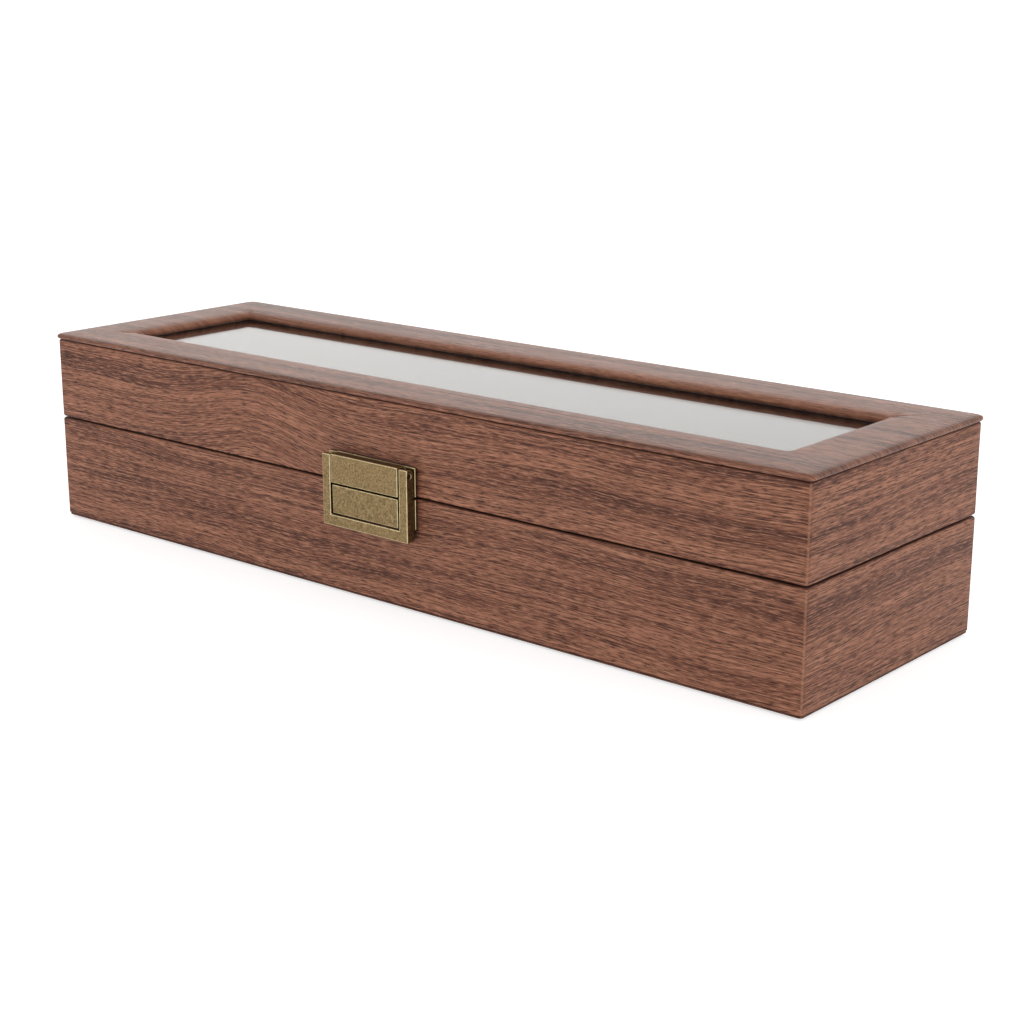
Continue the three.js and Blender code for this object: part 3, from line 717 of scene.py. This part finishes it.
def blown_pillow(half):
    """A watch cushion about the origin: a soft block with rounded long edges, swollen between its seams."""
    work = bmesh.new()
    bmesh.ops.create_cube(work, size=1)
    start = Vector((half.x * 2 - 1.5, half.y * 2 - 1.5, half.z * 2 - 2.0)) * MM
    bmesh.ops.scale(work, vec=start, verts=work.verts)
    bmesh.ops.bevel(work, geom=work.edges[:], offset=7 * MM, segments=3, affect="EDGES", profile=0.5)
    mesh = bpy.data.meshes.new("pillow")
    work.to_mesh(mesh)
    work.free()
    pillow = bpy.data.objects.new("pillow", mesh)
    scene.collection.objects.link(pillow)
    remesh = pillow.modifiers.new("remesh", "REMESH")
    remesh.mode = "VOXEL"
    remesh.voxel_size = 3.2 * MM
    apply_modifiers(pillow)
    before = [v.co.copy() for v in pillow.data.vertices]
    cloth = pillow.modifiers.new("cloth", "CLOTH")
    settings = cloth.settings
    settings.quality = 5
    settings.mass = 0.3
    settings.use_pressure = True
    settings.uniform_pressure_force = 4.0
    settings.effector_weights.gravity = 0
    cloth.point_cache.frame_start, cloth.point_cache.frame_end = 1, 20
    for step in range(1, 21):
        scene.frame_set(step)
    apply_modifiers(pillow)
    scene.frame_set(1)
    limit = 2.2 * MM
    for vertex, rest in zip(pillow.data.vertices, before):
        move = vertex.co - rest
        if move.length > limit:
            vertex.co = rest + move.normalized() * limit
        point = vertex.co / MM
        # Pulled in at the seams near both ends, and kept to the room of its compartment.
        seam = math.exp(-(((abs(point.y) - (half.y - SEAM_INSET)) / 1.3) ** 2))
        point -= Vector((point.x, 0, point.z)).normalized() * 0.9 * seam
        point.x = max(-half.x - 1.6, min(half.x + 1.6, point.x))
        point.z = max(-half.z, min(half.z + 0.6, point.z))
        point.y = max(-half.y - 0.6, min(half.y + 0.6, point.y))
        vertex.co = point * MM
    smooth = pillow.modifiers.new("smooth", "SUBSURF")
    smooth.levels = smooth.render_levels = 1
    apply_modifiers(pillow)
    made = pillow.data.copy()
    bpy.data.objects.remove(pillow)
    return made


def seam_ring(pillow, half, middle, index):
    """A fine sewn cord round each end of a cushion, laid in its seam."""
    work = bmesh.new()
    count = 72
    for end in (-1, 1):
        y = end * (half.y - SEAM_INSET)
        ring = []
        near = [v.co / MM for v in pillow.vertices if abs(v.co.y / MM - y) < 1.6]
        for k in range(count):
            angle = 2 * math.pi * k / count
            way = Vector((math.cos(angle), 0, math.sin(angle)))
            reach = max(
                (p.x * way.x + p.z * way.z for p in near
                 if (p.x * way.z - p.z * way.x) ** 2 < 2.5 and p.x * way.x + p.z * way.z > 0),
                default=half.x * 0.9,
            )
            ring.append(Vector((way.x * (reach + 0.1), y, way.z * (reach + 0.1))))
        ring = [(ring[k - 1] + ring[k] * 2 + ring[(k + 1) % count]) / 4 for k in range(count)]
        tube = []
        side = Vector((0, 1, 0))
        for k in range(count):
            ahead = (ring[(k + 1) % count] - ring[k - 1]).normalized()
            out = side.cross(ahead).normalized()
            radius = 0.42 + 0.05 * math.cos(math.pi * k)
            tube.append([
                work.verts.new((ring[k] + (out * math.cos(a) + side * math.sin(a)) * radius + middle) * MM)
                for a in (math.pi * j / 4 for j in range(8))
            ])
        for k in range(count):
            for j in range(8):
                n = (k + 1) % count
                work.faces.new((tube[k][j], tube[n][j], tube[n][(j + 1) % 8], tube[k][(j + 1) % 8]))
    bmesh.ops.recalc_face_normals(work, faces=work.faces)
    mesh = bpy.data.meshes.new(f"cushion_{index}_seams")
    work.to_mesh(mesh)
    work.free()
    return mesh


# ------------------------------------------------------------------ everything together

make_camera()
make_stage()
make_wraps()
make_frame_cover()

brass = antique_brass("antique_brass")
rubbed_brass = antique_brass("rubbed_brass", worn=True)
pin_brass = antique_brass("pin_brass", patina=0.75)
lining = pile("lining_velvet", (0.010, 0.009, 0.011), (0.020, 0.018, 0.021))
cushion_velvet = pile("cushion_velvet", (0.020, 0.018, 0.020), (0.036, 0.033, 0.037), sheen=0.7)
seam_cord = pile("seam_cord", (0.012, 0.011, 0.013), (0.026, 0.024, 0.027), scale=4000)
bottom_felt = pile("bottom_felt", (0.016, 0.016, 0.017), (0.030, 0.030, 0.031), scale=1800, sheen=0.3)
fibreboard = board("fibreboard")
pad_foam = foam("pad_foam")
pane = clear_pane("window_glass")
bottom_sheet = wood_sheet("bottom_wood_sheet", 5.0)

for node in frame["nodes"]:
    slot = SLOT_OF[node]
    if node in ("base_wrap", "lid_wrap", "frame_cover") or node.startswith("cushion_"):
        continue
    if node == "clasp_bail":
        refine(node, (brass, rubbed_brass), 0.3, angle=50, clamp=False)
    elif node in ("catch_plate", "clasp_lid_plate"):
        plate = refine(node, (brass, rubbed_brass), 0.26, angle=50, clamp=False, adjust=level_ends)
        for polygon in plate.data.polygons:
            centre = polygon.center / MM
            if centre.y > -HALF_Y - 0.25 and abs(centre.x) < 19.5:
                polygon.material_index = 0  # behind the block nothing rubs it
    elif node.startswith("clasp_pin"):
        refine(node, (pin_brass,), 0.12, segments=2, angle=40)
    elif slot == "antique_brass":
        refine(node, (brass, rubbed_brass), 0.12, segments=2, angle=40)
    elif node.startswith("divider"):
        refine(node, (lining,), 0.9, segments=4)
    elif slot == "lining_velvet":
        refine(node, (lining,), 0.35)
    elif slot == "fibreboard":
        refine(node, (fibreboard,), 0.25)
    elif slot == "foam":
        refine(node, (pad_foam,), 0.1)
    elif slot == "felt":
        refine(node, (bottom_felt,), 0.15)
    elif slot == "wood_grain_wrap":
        refine(node, (bottom_sheet,), 0.2)
    elif slot == "window":
        refine(node, (pane,), 0.3)

make_cushions(cushion_velvet, seam_cord)
